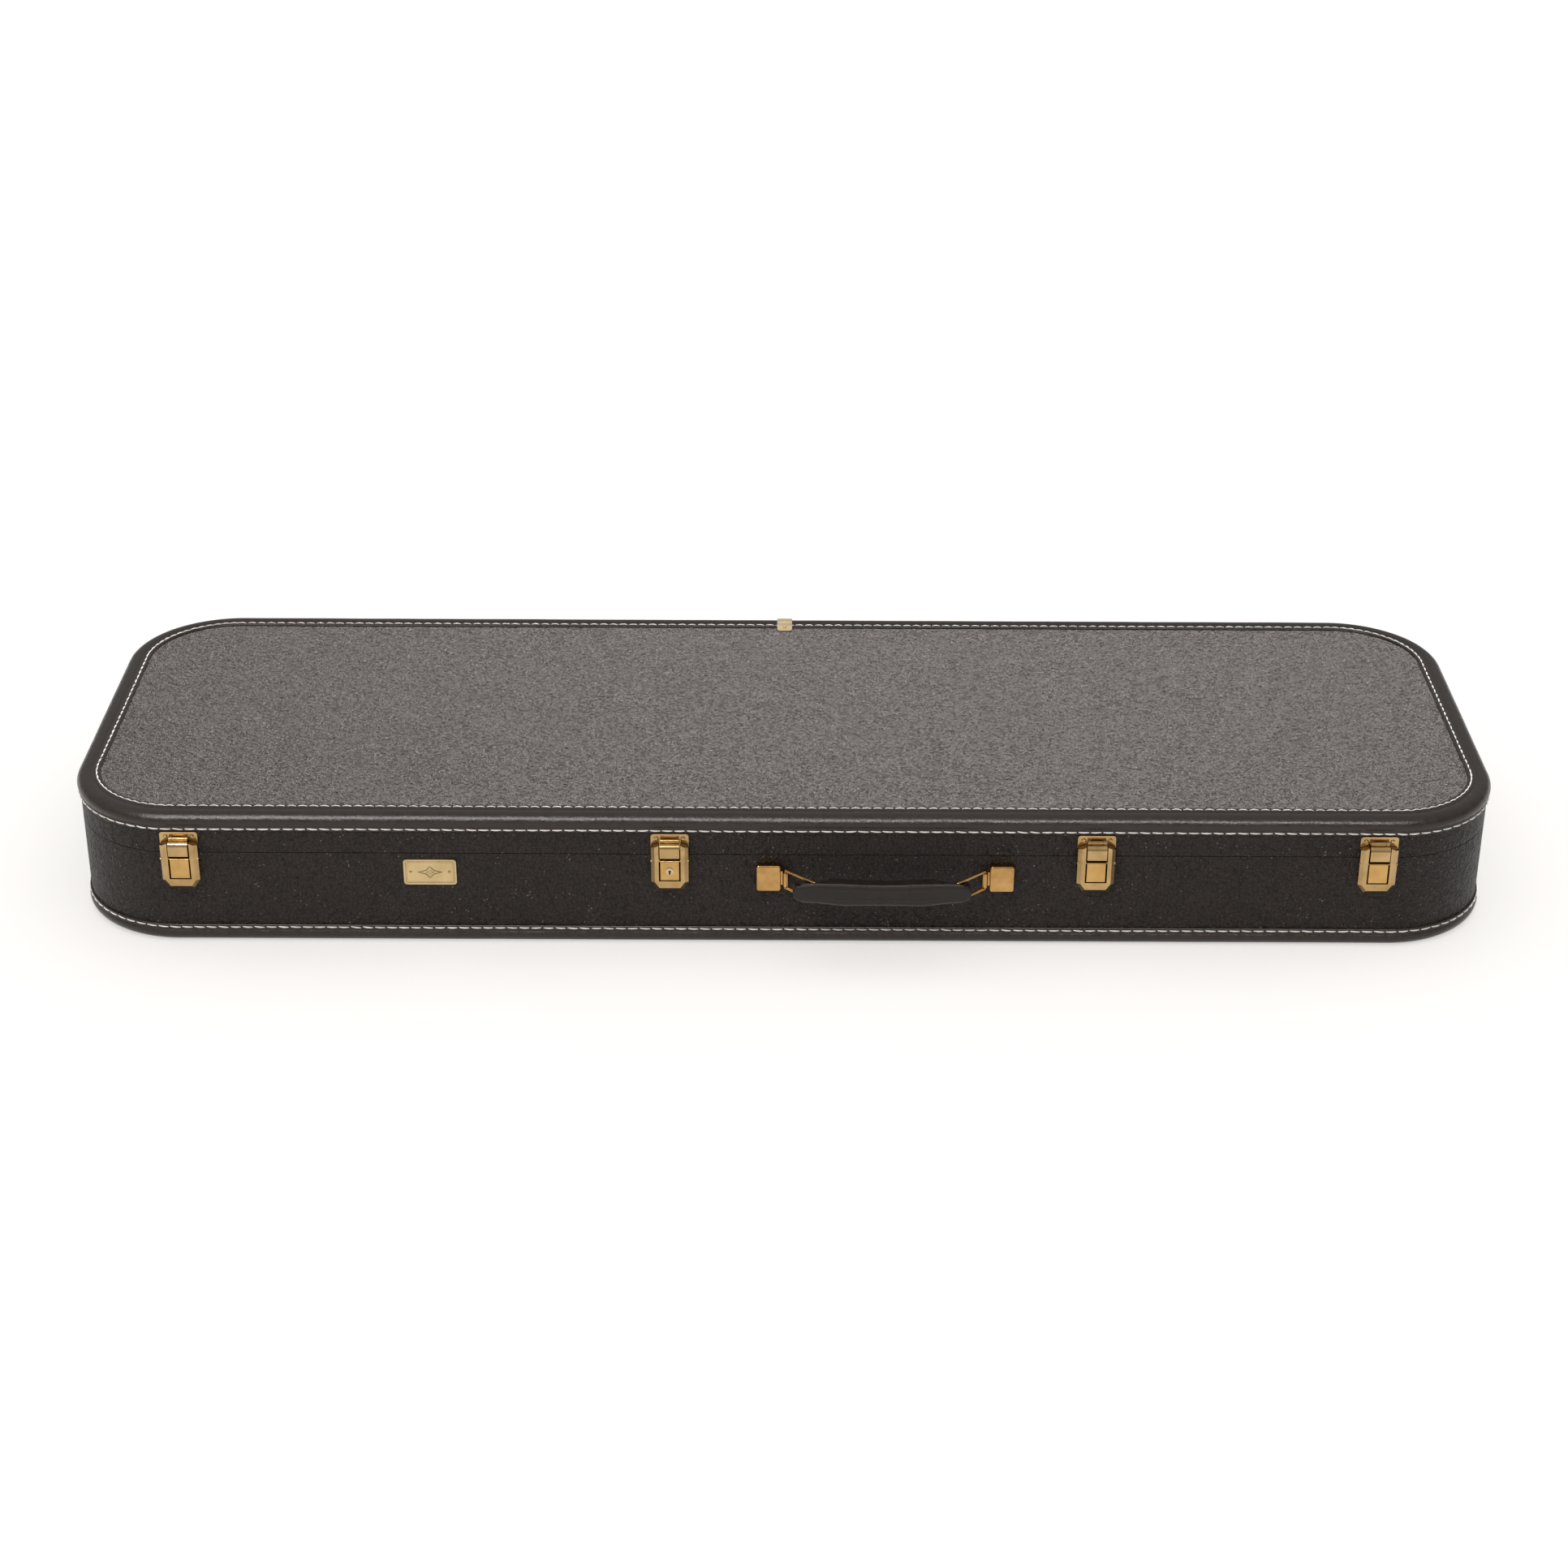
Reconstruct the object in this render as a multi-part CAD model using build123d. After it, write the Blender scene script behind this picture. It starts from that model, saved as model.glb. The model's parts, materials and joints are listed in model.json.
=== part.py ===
"""Rectangular hard case for an electric guitar, built as separate parts.

Frame, in millimetres: X runs along the case towards the wide end of the instrument, Y from the
front (latches and handle) to the back (hinges), Z up. The origin is on the ground under the
middle of the case.
"""
from build123d import *
import math
import os

os.makedirs("parts", exist_ok=True)

# Outer shape
LENGTH = 1090.0
DEPTH = 358.0
HEIGHT = 110.0
SEAM = 77.0
SEAM_GAP = 0.5
CORNER = 82.0
FRONT = -DEPTH / 2
BACK = DEPTH / 2

# Layers, from the outside in
SKIN = 0.8
WALL = 5.0
PANEL = 4.0
LINER_BOARD = 2.4
WALL_LINING = 2.5
FLOOR_LINING = 3.0
LID_PAD = 4.0
PANEL_INSET = 1.5
EDGE_ROUND = 6.0
LIP_RISE = 6.0
LIP_GAP = 0.5
WALL_INSIDE = SKIN + WALL
ROOM_INSET = WALL_INSIDE + LINER_BOARD + WALL_LINING
FLOOR_TOP = PANEL_INSET + SKIN + PANEL + FLOOR_LINING
ROOM_X = LENGTH / 2 - ROOM_INSET
ROOM_Y = DEPTH / 2 - ROOM_INSET

# Edge binding, as (outset from the wall, height above the ground)
ROLL_PROUD = 1.9
ROLL_TALL = 10.0
FLANGE_PROUD = 1.1
SIDE_FLANGE_TOP = 14.5
FACE_FLANGE_END = 16.6

# Latches, centred on these X values; the second one locks
LATCH_X = (-456.0, -86.0, 236.0, 449.0)
LOCKING = 2
HOUSING_HALF = 14.1
HOUSING_DEEP = 7.4
HOUSING_TOP = 11.0
HOUSING_SHOULDER = 8.5
HOUSING_LOW = -28.0
HOUSING_BEVEL = 2.8
WINDOW_HALF = 8.25
WINDOW_LOW = -19.4
TONGUE_HALF = 7.4
HASP_PIVOT = (3.4, 13.2)
HASP_KNUCKLE = 1.6
HASP_PIN = 0.7
KEEPER_TOP = 17.9
LEVER_PIVOT = (4.6, -3.2)
LEVER_FRONT = 7.6
LEVER_TOP = -1.8
LEVER_LOW = -18.9
PIN_CLEAR = 0.05
LOCK_RADIUS = 3.0
LOCK_Z = -10.6

# Handle
HANDLE_X = 77.0
BRACKET_WIDE = 18.5
BRACKET_HALF_SPAN = 97.6
BRACKET_TOP = -6.4
BRACKET_LOW = -28.3
BRACKET_DEEP = 6.8
RING_WIRE = 1.25
RING_HINGE = (75.5, 4.2)
RING_REACH = 28.9
RING_ANGLE = 41.6
RING_Z = -18.8
RING_HALF = 7.5
GRIP_HALF = 67.2
GRIP_SHIFT = -3.0
GRIP_BACK = 17.5
GRIP_FRONT = 30.0
EYE_BACK = 20.7
EYE_FRONT = 27.3
EYE_OUTER = 64.0
EYE_INNER = 46.0

# Back hinges
HINGE_X = (-395.0, 0.0, 395.0)
HINGE_OUT = 3.4
HINGE_KNUCKLE = 2.6
HINGE_PIN = 1.2
LEAF_HALF = 22.0
LEAF_THICK = 1.2
CLIP_HALF = 6.3

# Fittings inside
BAY_LEFT = -235.0
BAY_RIGHT = 85.0
NECK_FRONT = -48.0
NECK_BACK = 50.0
BOX_TOP = 46.0
BOX_WALL = 4.0
FLAP_THICK = 3.5
FLAP_HINGE_Y = 100.0
CRADLE_WIDE = 27.0
CRADLE_TOP = 58.0
BODY_BLOCK_TOP = 56.0


def save(name, solid):
    """Write one named part."""
    export_step(solid, f"parts/{name}.step")


def block(x_low, x_high, y_low, y_high, z_low, z_high):
    """Box between two corners."""
    middle = Pos((x_low + x_high) / 2, (y_low + y_high) / 2, (z_low + z_high) / 2)
    return middle * Box(x_high - x_low, y_high - y_low, z_high - z_low)


def on_front(x_low, x_high, out_low, out_high, z_low, z_high):
    """Box on the front wall: outset from the wall, height from the seam."""
    return block(x_low, x_high, FRONT - out_high, FRONT - out_low, SEAM + z_low, SEAM + z_high)


def on_back(x_low, x_high, out_low, out_high, z_low, z_high):
    """Box on the back wall: outset from the wall, height from the seam."""
    return block(x_low, x_high, BACK + out_low, BACK + out_high, SEAM + z_low, SEAM + z_high)


def rod_x(x_low, x_high, y, z, radius):
    """Round bar along X."""
    return Pos((x_low + x_high) / 2, y, z) * Rot(0, 90, 0) * Cylinder(radius, x_high - x_low)


def rod_z(x, y, z_low, z_high, radius):
    """Round bar along Z."""
    return Pos(x, y, (z_low + z_high) / 2) * Cylinder(radius, z_high - z_low)


def front_prism(outline, out_low, out_high, x=0.0):
    """Carry an (x, height from the seam) outline outwards from the front wall."""
    plane = Plane(origin=(x, FRONT - out_low, SEAM), x_dir=(1, 0, 0), z_dir=(0, -1, 0))
    return extrude(plane * outline, out_high - out_low)


def section_prism(outline, x_low, x_high):
    """Carry an (outset from the front wall, height from the seam) outline along X."""
    plane = Plane(origin=(x_high, FRONT, SEAM), x_dir=(0, -1, 0), z_dir=(-1, 0, 0))
    return extrude(plane * outline, x_high - x_low)


def plan_block(inset, z_low, z_high):
    """Block with the case's rounded plan, its walls inset from the outer faces."""
    plan = RectangleRounded(LENGTH - 2 * inset, DEPTH - 2 * inset, CORNER - inset)
    return Pos(0, 0, z_low) * extrude(plan, z_high - z_low)


def plan_ring(outer_inset, inner_inset, z_low, z_high):
    """Upright band that follows the plan."""
    return plan_block(outer_inset, z_low, z_high) - plan_block(inner_inset, z_low, z_high)


def rounded_tray(inset, z_low, z_high, radius):
    """Plan block with its lower edge rounded."""
    solid = plan_block(inset, z_low, z_high)
    return fillet(solid.faces().sort_by(Axis.Z)[0].edges(), radius)


def shell_parts(rim):
    """Covering, side wall and panel of one tray that opens upwards at the rim height."""
    face = PANEL_INSET + SKIN
    core = rounded_tray(SKIN, face, rim - SKIN, EDGE_ROUND - SKIN)
    covering = rounded_tray(0, PANEL_INSET, rim, EDGE_ROUND) - core - plan_block(WALL_INSIDE, rim - SKIN, rim)
    side_wall = core & plan_ring(0, WALL_INSIDE, face + PANEL, rim)
    panel = core & plan_block(0, face, face + PANEL)
    return covering, side_wall, panel


def binding_section():
    """Closed outline of the edge binding as (outset, height) for an edge at the ground."""
    wall_top = (0, SIDE_FLANGE_TOP)
    bend_top = (0, PANEL_INSET + EDGE_ROUND)
    bend_low = (-EDGE_ROUND, PANEL_INSET)
    bend_middle = EDGE_ROUND * (1 - math.sqrt(0.5))
    face_end = (-FACE_FLANGE_END, PANEL_INSET)
    outline = [
        Line(wall_top, bend_top),
        ThreePointArc(bend_top, (-bend_middle, PANEL_INSET + bend_middle), bend_low),
        Line(bend_low, face_end),
        Line(face_end, (-FACE_FLANGE_END + 0.3, 0.3)),
        Line((-FACE_FLANGE_END + 0.3, 0.3), (-10.9, 0.3)),
        Line((-10.9, 0.3), (-10.3, 0.9)),
        ThreePointArc((-10.3, 0.9), (-8.8, 0.3), (-7.0, 0)),
        Line((-7.0, 0), (-3.6, 0)),
        ThreePointArc((-3.6, 0), (0.3, 1.5), (ROLL_PROUD, 4.8)),
        ThreePointArc((ROLL_PROUD, 4.8), (ROLL_PROUD, 7.4), (0.8, ROLL_TALL)),
        Line((0.8, ROLL_TALL), (FLANGE_PROUD, ROLL_TALL + 0.6)),
        Line((FLANGE_PROUD, ROLL_TALL + 0.6), (FLANGE_PROUD, SIDE_FLANGE_TOP - 0.3)),
        Line((FLANGE_PROUD, SIDE_FLANGE_TOP - 0.3), wall_top),
    ]
    return make_face(outline)


def around_plan(section):
    """Carry an (outset, height) section round the four sides and corners of the plan."""
    half_x = LENGTH / 2 - CORNER
    half_y = DEPTH / 2 - CORNER
    pieces = []
    for turn, run, reach in ((0, half_y, LENGTH / 2), (90, half_x, DEPTH / 2),
                             (180, half_y, LENGTH / 2), (270, half_x, DEPTH / 2)):
        out = Vector(math.cos(math.radians(turn)), math.sin(math.radians(turn)), 0)
        side = Plane(origin=out * reach, x_dir=out, z_dir=(out.Y, -out.X, 0))
        pieces.append(extrude(side * section, run, both=True))
    for turn, x, y in ((0, half_x, half_y), (90, -half_x, half_y), (180, -half_x, -half_y), (270, half_x, -half_y)):
        out = Vector(math.cos(math.radians(turn)), math.sin(math.radians(turn)), 0)
        centre = Vector(x, y, 0)
        start = Plane(origin=centre + out * CORNER, x_dir=out, z_dir=(out.Y, -out.X, 0))
        pieces.append(revolve(start * section, Axis((x, y, 0), (0, 0, 1)), 90))
    whole = pieces[0]
    for piece in pieces[1:]:
        whole = whole + piece
    return whole


def turned_over(solid):
    """Turn a tray part over, so that it becomes the lid's."""
    return Pos(0, 0, HEIGHT) * mirror(solid, about=Plane.XY)


def build_shells():
    """Wooden trays, their covering and their edge bindings."""
    base_rim = SEAM - SEAM_GAP / 2
    lid_rim = HEIGHT - SEAM - SEAM_GAP / 2
    binding = around_plan(binding_section())
    covering, side_wall, panel = shell_parts(base_rim)
    save("base_covering", covering)
    save("base_side_wall", side_wall)
    save("base_bottom_panel", panel)
    save("base_edge_binding", binding)
    covering, side_wall, panel = shell_parts(lid_rim)
    save("lid_covering", turned_over(covering))
    save("lid_side_wall", turned_over(side_wall))
    save("lid_top_panel", turned_over(panel))
    save("lid_edge_binding", turned_over(binding))


def build_linings():
    """Liner board that rises past the seam, and the plush linings."""
    floor = PANEL_INSET + SKIN + PANEL
    board_in = WALL_INSIDE + LINER_BOARD
    low_board = plan_ring(WALL_INSIDE, board_in, floor, SEAM - 2)
    high_board = plan_ring(WALL_INSIDE + LIP_GAP, board_in, SEAM - 2, SEAM + LIP_RISE)
    save("base_liner_board", low_board + high_board)
    save("base_wall_lining", plan_ring(board_in, ROOM_INSET, floor, SEAM + LIP_RISE - 1.5))
    save("base_floor_lining", plan_block(ROOM_INSET, floor, FLOOR_TOP))
    lid_face = HEIGHT - floor
    pad_low = lid_face - LID_PAD
    save("lid_wall_lining", plan_ring(WALL_INSIDE, WALL_INSIDE + WALL_LINING, SEAM + LIP_RISE + 1.5, lid_face))
    save("lid_top_lining", plan_block(WALL_INSIDE + WALL_LINING, pad_low, lid_face))


def body_space():
    """Plan of the space that the instrument's body fills."""
    half = [(BAY_RIGHT - 2, -52), (122, -112), (178, -134), (262, -112), (330, -136), (410, -158),
            (488, -120), (524, 0)]
    front_edge = Spline(half, tangents=[(0.1, -1), (0, 1)])
    back_edge = Spline([(x, -y) for x, y in half], tangents=[(0.1, 1), (0, -1)])
    return make_face([front_edge, back_edge, Line(half[0], (half[0][0], -half[0][1]))])


def build_fittings():
    """Padded blocks and the accessory box inside the base."""
    room = plan_block(ROOM_INSET, FLOOR_TOP, CRADLE_TOP)
    cradle_left = BAY_LEFT - CRADLE_WIDE
    cradle = block(cradle_left, BAY_LEFT, -ROOM_Y, ROOM_Y, FLOOR_TOP, CRADLE_TOP)
    notch_half = 31.0
    notch_floor = 30.0
    notch = block(cradle_left, BAY_LEFT, -notch_half, notch_half, notch_floor + 14, CRADLE_TOP)
    notch = notch + block(cradle_left, BAY_LEFT, -notch_half + 14, notch_half - 14, notch_floor, CRADLE_TOP)
    for side in (-1, 1):
        notch = notch + rod_x(cradle_left, BAY_LEFT, side * (notch_half - 14), notch_floor + 14, 14)
    save("neck_cradle", cradle - notch)

    save("neck_side_block", block(BAY_LEFT, BAY_RIGHT, -ROOM_Y, NECK_FRONT, FLOOR_TOP, BOX_TOP))

    body_region = block(BAY_RIGHT, ROOM_X, -ROOM_Y, ROOM_Y, FLOOR_TOP, BODY_BLOCK_TOP) & room
    padding = body_region - Pos(0, 0, FLOOR_TOP) * extrude(body_space(), BODY_BLOCK_TOP - FLOOR_TOP)
    end_gap = block(BAY_RIGHT, ROOM_X, NECK_FRONT, NECK_BACK, FLOOR_TOP, BODY_BLOCK_TOP)
    padding = padding - end_gap
    front_half = block(BAY_RIGHT, ROOM_X, -ROOM_Y, 0, FLOOR_TOP, BODY_BLOCK_TOP)
    save("body_block_front", padding & front_half)
    save("body_block_back", padding - front_half)

    box = block(BAY_LEFT, BAY_RIGHT, NECK_BACK, ROOM_Y, FLOOR_TOP, BOX_TOP)
    inside = block(BAY_LEFT + BOX_WALL, BAY_RIGHT - BOX_WALL, NECK_BACK + BOX_WALL, ROOM_Y - BOX_WALL,
                   FLOOR_TOP + BOX_WALL, BOX_TOP)
    shelf = block(BAY_LEFT, BAY_RIGHT, FLAP_HINGE_Y + 2.5, ROOM_Y, BOX_TOP, BOX_TOP + FLAP_THICK)
    save("accessory_box", box - inside)
    save("accessory_shelf", shelf)
    flap_low = BOX_TOP + 0.3
    flap = block(BAY_LEFT + 1, BAY_RIGHT - 1, NECK_BACK, FLAP_HINGE_Y, flap_low, flap_low + FLAP_THICK)
    roll = rod_x(BAY_LEFT + 1, BAY_RIGHT - 1, FLAP_HINGE_Y, flap_low + FLAP_THICK / 2, FLAP_THICK / 2)
    save("accessory_flap", flap + roll)


def build_latch(number, x):
    """One latch: keeper plate and hasp on the lid, housing and release lever on the base."""
    name = f"latch_{number}_"
    pivot_out, pivot_z = HASP_PIVOT
    knuckle_y = FRONT - pivot_out
    knuckle_z = SEAM + pivot_z

    plate = Polyline([(-14.3, 7.5), (-8, 10.5), (-8, 5), (8, 5), (8, 10.5), (14.3, 7.5), (14.3, KEEPER_TOP),
                      (-14.3, KEEPER_TOP)],
                     close=True)
    keeper = front_prism(make_face(plate), 0, 1.2, x)
    top_corners = keeper.edges().filter_by(Axis.Y).group_by(Axis.Z)[-1]
    keeper = fillet(top_corners, 2.2)
    for side in (-1, 1):
        near, far = sorted((x + side * 4.5, x + side * 7.0))
        lug = rod_x(near, far, knuckle_y, knuckle_z, HASP_KNUCKLE)
        foot = on_front(near, far, 1.0, pivot_out, pivot_z - HASP_KNUCKLE, pivot_z + HASP_KNUCKLE)
        rivet = Pos(x + side * 10, FRONT - 1.5, SEAM + 13.4) * Rot(90, 0, 0) * Cylinder(1.8, 0.8)
        keeper = keeper + lug + foot + rivet
    save(name + "keeper", keeper + rod_x(x - 6, x + 6, knuckle_y, knuckle_z, HASP_PIN))

    bend = Pos(4.8, 8.0) * (Circle(4.0) - Circle(2.8)) & Pos(6.8, 10.0) * Rectangle(4, 4)
    profile = bend + Pos(8.2, 4.8) * Rectangle(1.2, 6.4) + Pos(6.7, 1.2) * RectangleRounded(4.2, 1.2, 0.4)
    hasp = section_prism(profile, x - TONGUE_HALF, x + TONGUE_HALF)
    hasp = hasp + on_front(x - 4.2, x + 4.2, 3.6, 4.9, 10.8, 11.9)
    hasp = hasp + on_front(x - 4.2, x + 4.2, pivot_out - 0.8, pivot_out + 1.4, 10.8, pivot_z)
    hasp = hasp + rod_x(x - 4.2, x + 4.2, knuckle_y, knuckle_z, HASP_KNUCKLE)
    save(name + "hasp", hasp - rod_x(x - 5, x + 5, knuckle_y, knuckle_z, HASP_PIN + PIN_CLEAR))

    half, low = HOUSING_HALF, HOUSING_LOW
    frame = Polyline([(-half, HOUSING_SHOULDER), (-WINDOW_HALF, HOUSING_TOP), (-WINDOW_HALF, WINDOW_LOW),
                      (WINDOW_HALF, WINDOW_LOW), (WINDOW_HALF, HOUSING_TOP), (half, HOUSING_SHOULDER),
                      (half, low + 6.9), (half - 4.7, low), (-half + 4.7, low), (-half, low + 6.9)], close=True)
    housing = front_prism(make_face(frame), 0, HOUSING_DEEP, x)
    front_face = housing.faces().sort_by(Axis.Y)[0]
    outer_edges = [edge for edge in front_face.edges()
                   if edge.center().Z < SEAM + 8.5 and (abs(edge.center().X - x) > 9 or edge.center().Z < SEAM - 22)]
    housing = chamfer(outer_edges, HOUSING_BEVEL)
    housing = housing - on_front(x - 15, x + 15, -0.5, 1.8, -0.8, 12)
    pin_y = FRONT - LEVER_PIVOT[0]
    pin_z = SEAM + LEVER_PIVOT[1]
    pin = rod_x(x - 14.5, x + 14.3, pin_y, pin_z, 1.0)
    save(name + "housing", housing - pin)
    save(name + "lever_pin", pin)

    lever = on_front(x - TONGUE_HALF, x + TONGUE_HALF, 1.8, LEVER_FRONT, LEVER_LOW, LEVER_TOP)
    front_face = lever.faces().sort_by(Axis.Y)[0]
    lever = fillet(front_face.edges(), 1.1)
    lever = lever - on_front(x - 6.1, x + 6.1, 1, 6.2, LEVER_LOW + 1.4, LEVER_TOP - 0.8)
    lever = lever - rod_x(x - 8, x + 8, pin_y, pin_z, 1.0 + PIN_CLEAR)
    if number == LOCKING:
        lock = Pos(x, FRONT - 6.7, SEAM + LOCK_Z) * Rot(90, 0, 0) * Cylinder(LOCK_RADIUS, 3.0)
        lever = lever - Pos(x, FRONT - 6.7, SEAM + LOCK_Z) * Rot(90, 0, 0) * Cylinder(LOCK_RADIUS + PIN_CLEAR, 6.0)
        key_round = Pos(x, FRONT - 8.0, SEAM + LOCK_Z) * Rot(90, 0, 0) * Cylinder(1.0, 2.4)
        key_slot = on_front(x - 0.65, x + 0.65, 6.8, 9.0, LOCK_Z - 2.6, LOCK_Z)
        save("lock_cylinder", lock - key_round - key_slot)
    save(name + "lever", lever)


def handle_ring(side):
    """Rectangular wire ring, swung out from the wall."""
    hinge_x = HANDLE_X + side * RING_HINGE[0]
    hinge_y = FRONT - RING_HINGE[1]
    angle = math.radians(RING_ANGLE)
    far_x = hinge_x - side * RING_REACH * math.cos(angle)
    far_y = hinge_y - RING_REACH * math.sin(angle)
    low = SEAM + RING_Z - RING_HALF
    high = SEAM + RING_Z + RING_HALF
    ring = rod_z(hinge_x, hinge_y, low, high, RING_WIRE) + rod_z(far_x, far_y, low, high, RING_WIRE)
    for z in (low, high):
        arm_plane = Plane(origin=(hinge_x, hinge_y, z), z_dir=(far_x - hinge_x, far_y - hinge_y, 0))
        ring = ring + extrude(arm_plane * Circle(RING_WIRE), RING_REACH)
        ring = ring + Pos(hinge_x, hinge_y, z) * Sphere(RING_WIRE) + Pos(far_x, far_y, z) * Sphere(RING_WIRE)
    return ring


def handle_bracket(side):
    """Box-shaped end plate with the knuckle that a ring turns in."""
    outer = HANDLE_X + side * BRACKET_HALF_SPAN
    inner = outer - side * BRACKET_WIDE
    low, high = sorted((outer, inner))
    bracket = on_front(low, high, 0, BRACKET_DEEP, BRACKET_LOW, BRACKET_TOP)
    bracket = fillet(bracket.edges().filter_by(Axis.Y), 2.0)
    bracket = fillet(bracket.faces().sort_by(Axis.Y)[0].edges(), 1.4)
    hinge_x = HANDLE_X + side * RING_HINGE[0]
    hinge_y = FRONT - RING_HINGE[1]
    knuckle_low = RING_Z - RING_HALF + RING_WIRE + 0.45
    knuckle_high = RING_Z + RING_HALF - RING_WIRE - 0.45
    arm_low, arm_high = sorted((inner + side * 2, hinge_x))
    arm = on_front(arm_low, arm_high, 0.8, 2.7, knuckle_low, knuckle_high)
    knuckle = rod_z(hinge_x, hinge_y, SEAM + knuckle_low, SEAM + knuckle_high, 2.2)
    bore = rod_z(hinge_x, hinge_y, SEAM + knuckle_low - 1, SEAM + knuckle_high + 1, RING_WIRE + PIN_CLEAR)
    return bracket + (arm + knuckle - bore)


def handle_grip():
    """Leather grip with an upright eye through each end."""
    half = GRIP_HALF
    middle = HANDLE_X + GRIP_SHIFT
    outline = []
    for side in (-1, 1):
        outline.append(Spline([(0, -11.2), (side * 42, -9.8), (side * (half - 5), -10.6)],
                              tangents=[(side, 0), (side, -0.1)]))
        outline.append(ThreePointArc((side * (half - 5), -10.6), (side * (half - 0.8), -13.2), (side * half, -17.0)))
        outline.append(Spline([(side * half, -17.0), (side * (half - 13), -24.8), (side * 34, -27.2), (0, -27.2)],
                              tangents=[(0, -1), (-side, 0)]))
    grip = front_prism(make_face(outline), GRIP_BACK, GRIP_FRONT, middle)
    rims = grip.faces().sort_by(Axis.Y)
    grip = fillet(rims[0].edges() + rims[-1].edges(), 2.0)
    for side in (-1, 1):
        near, far = sorted((middle + side * EYE_INNER, middle + side * EYE_OUTER))
        eye = on_front(near, far, EYE_BACK, EYE_FRONT, -30, -8)
        eye = fillet(eye.edges().filter_by(Axis.Z), 1.5)
        end_low, end_high = sorted((middle + side * 40, middle + side * (half + 1)))
        room_top = on_front(end_low, end_high, GRIP_BACK - 1, EYE_BACK + 0.5, RING_Z + 5.8, -8)
        room_low = on_front(end_low, end_high, GRIP_BACK - 1, EYE_BACK + 0.5, -30, RING_Z - 5.8)
        grip = grip - eye - room_top - room_low
    return grip


def build_handle():
    """Carrying handle on the front wall."""
    for side, word in ((-1, "left"), (1, "right")):
        save(f"handle_bracket_{word}", handle_bracket(side))
        save(f"handle_ring_{word}", handle_ring(side))
    save("handle_grip", handle_grip())


def build_hinge(number, x):
    """One back hinge: a leaf on each half and the pin, fixed in the base's leaf."""
    name = f"hinge_{number}_"
    axis_y = BACK + HINGE_OUT
    lid_half = 7.7
    base_leaf = on_back(x - LEAF_HALF, x + LEAF_HALF, 0, LEAF_THICK, -17, -1.8)
    for near, far in ((x - LEAF_HALF, x - 8), (x + 8, x + LEAF_HALF)):
        base_leaf = base_leaf + on_back(near, far, 0, LEAF_THICK, -1.8, -0.4)
        base_leaf = base_leaf + rod_x(near, far, axis_y, SEAM, HINGE_KNUCKLE)
    pin = rod_x(x - LEAF_HALF, x + LEAF_HALF, axis_y, SEAM, HINGE_PIN)
    lid_leaf = on_back(x - LEAF_HALF, x + LEAF_HALF, 0, LEAF_THICK, 1.8, 16.5)
    lid_leaf = lid_leaf + on_back(x - lid_half, x + lid_half, 0, LEAF_THICK, 0.4, 1.8)
    lid_leaf = lid_leaf + rod_x(x - lid_half, x + lid_half, axis_y, SEAM, HINGE_KNUCKLE)
    save(name + "base_leaf", base_leaf - pin)
    save(name + "pin", pin)
    save(name + "lid_leaf", lid_leaf - rod_x(x - 9, x + 9, axis_y, SEAM, HINGE_PIN + PIN_CLEAR))


def build_trim():
    """Maker's plate on the front, and the clip over the binding's joint at the back."""
    plate = RectangleRounded(40, 21.5, 2.5)
    save("name_plate", Pos(-268, 0) * front_prism(Pos(0, -16.05) * plate, 0, 0.8))

    section = binding_section()
    clip_section = offset(section, 0.8) - offset(section, 0.01)
    clip_section = clip_section & Pos(-7.2, 7.5) * Rectangle(21.6, 17.4)
    clip_section = clip_section - Pos(-30, 30) * Rectangle(60, 57)
    tongue = Polyline([(-17.0, -0.4), (-23.5, 0.7), (-23.5, 1.49), (-17.0, 1.49)], close=True)
    clip_section = clip_section + make_face(tongue)
    plane = Plane(origin=(CLIP_HALF, BACK, 0), x_dir=(0, 1, 0), z_dir=(1, 0, 0))
    clip = extrude(plane * clip_section, -2 * CLIP_HALF)
    tongue_end = clip.faces().sort_by(Axis.Y)[0]
    clip = fillet(tongue_end.edges().filter_by(Axis.Z), 2.5)
    save("back_clip", turned_over(clip))


build_shells()
build_linings()
build_fittings()
for index, centre in enumerate(LATCH_X):
    build_latch(index + 1, centre)
build_handle()
for index, centre in enumerate(HINGE_X):
    build_hinge(index + 1, centre)
build_trim()
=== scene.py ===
"""Looks of the guitar case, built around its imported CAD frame. Metres, in the frame's axes:
X along the case, Y from the front (latches, handle) to the back (hinges), Z up."""
import json
import math
import random

import bmesh
import bpy
from mathutils import Matrix, Vector, noise

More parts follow.
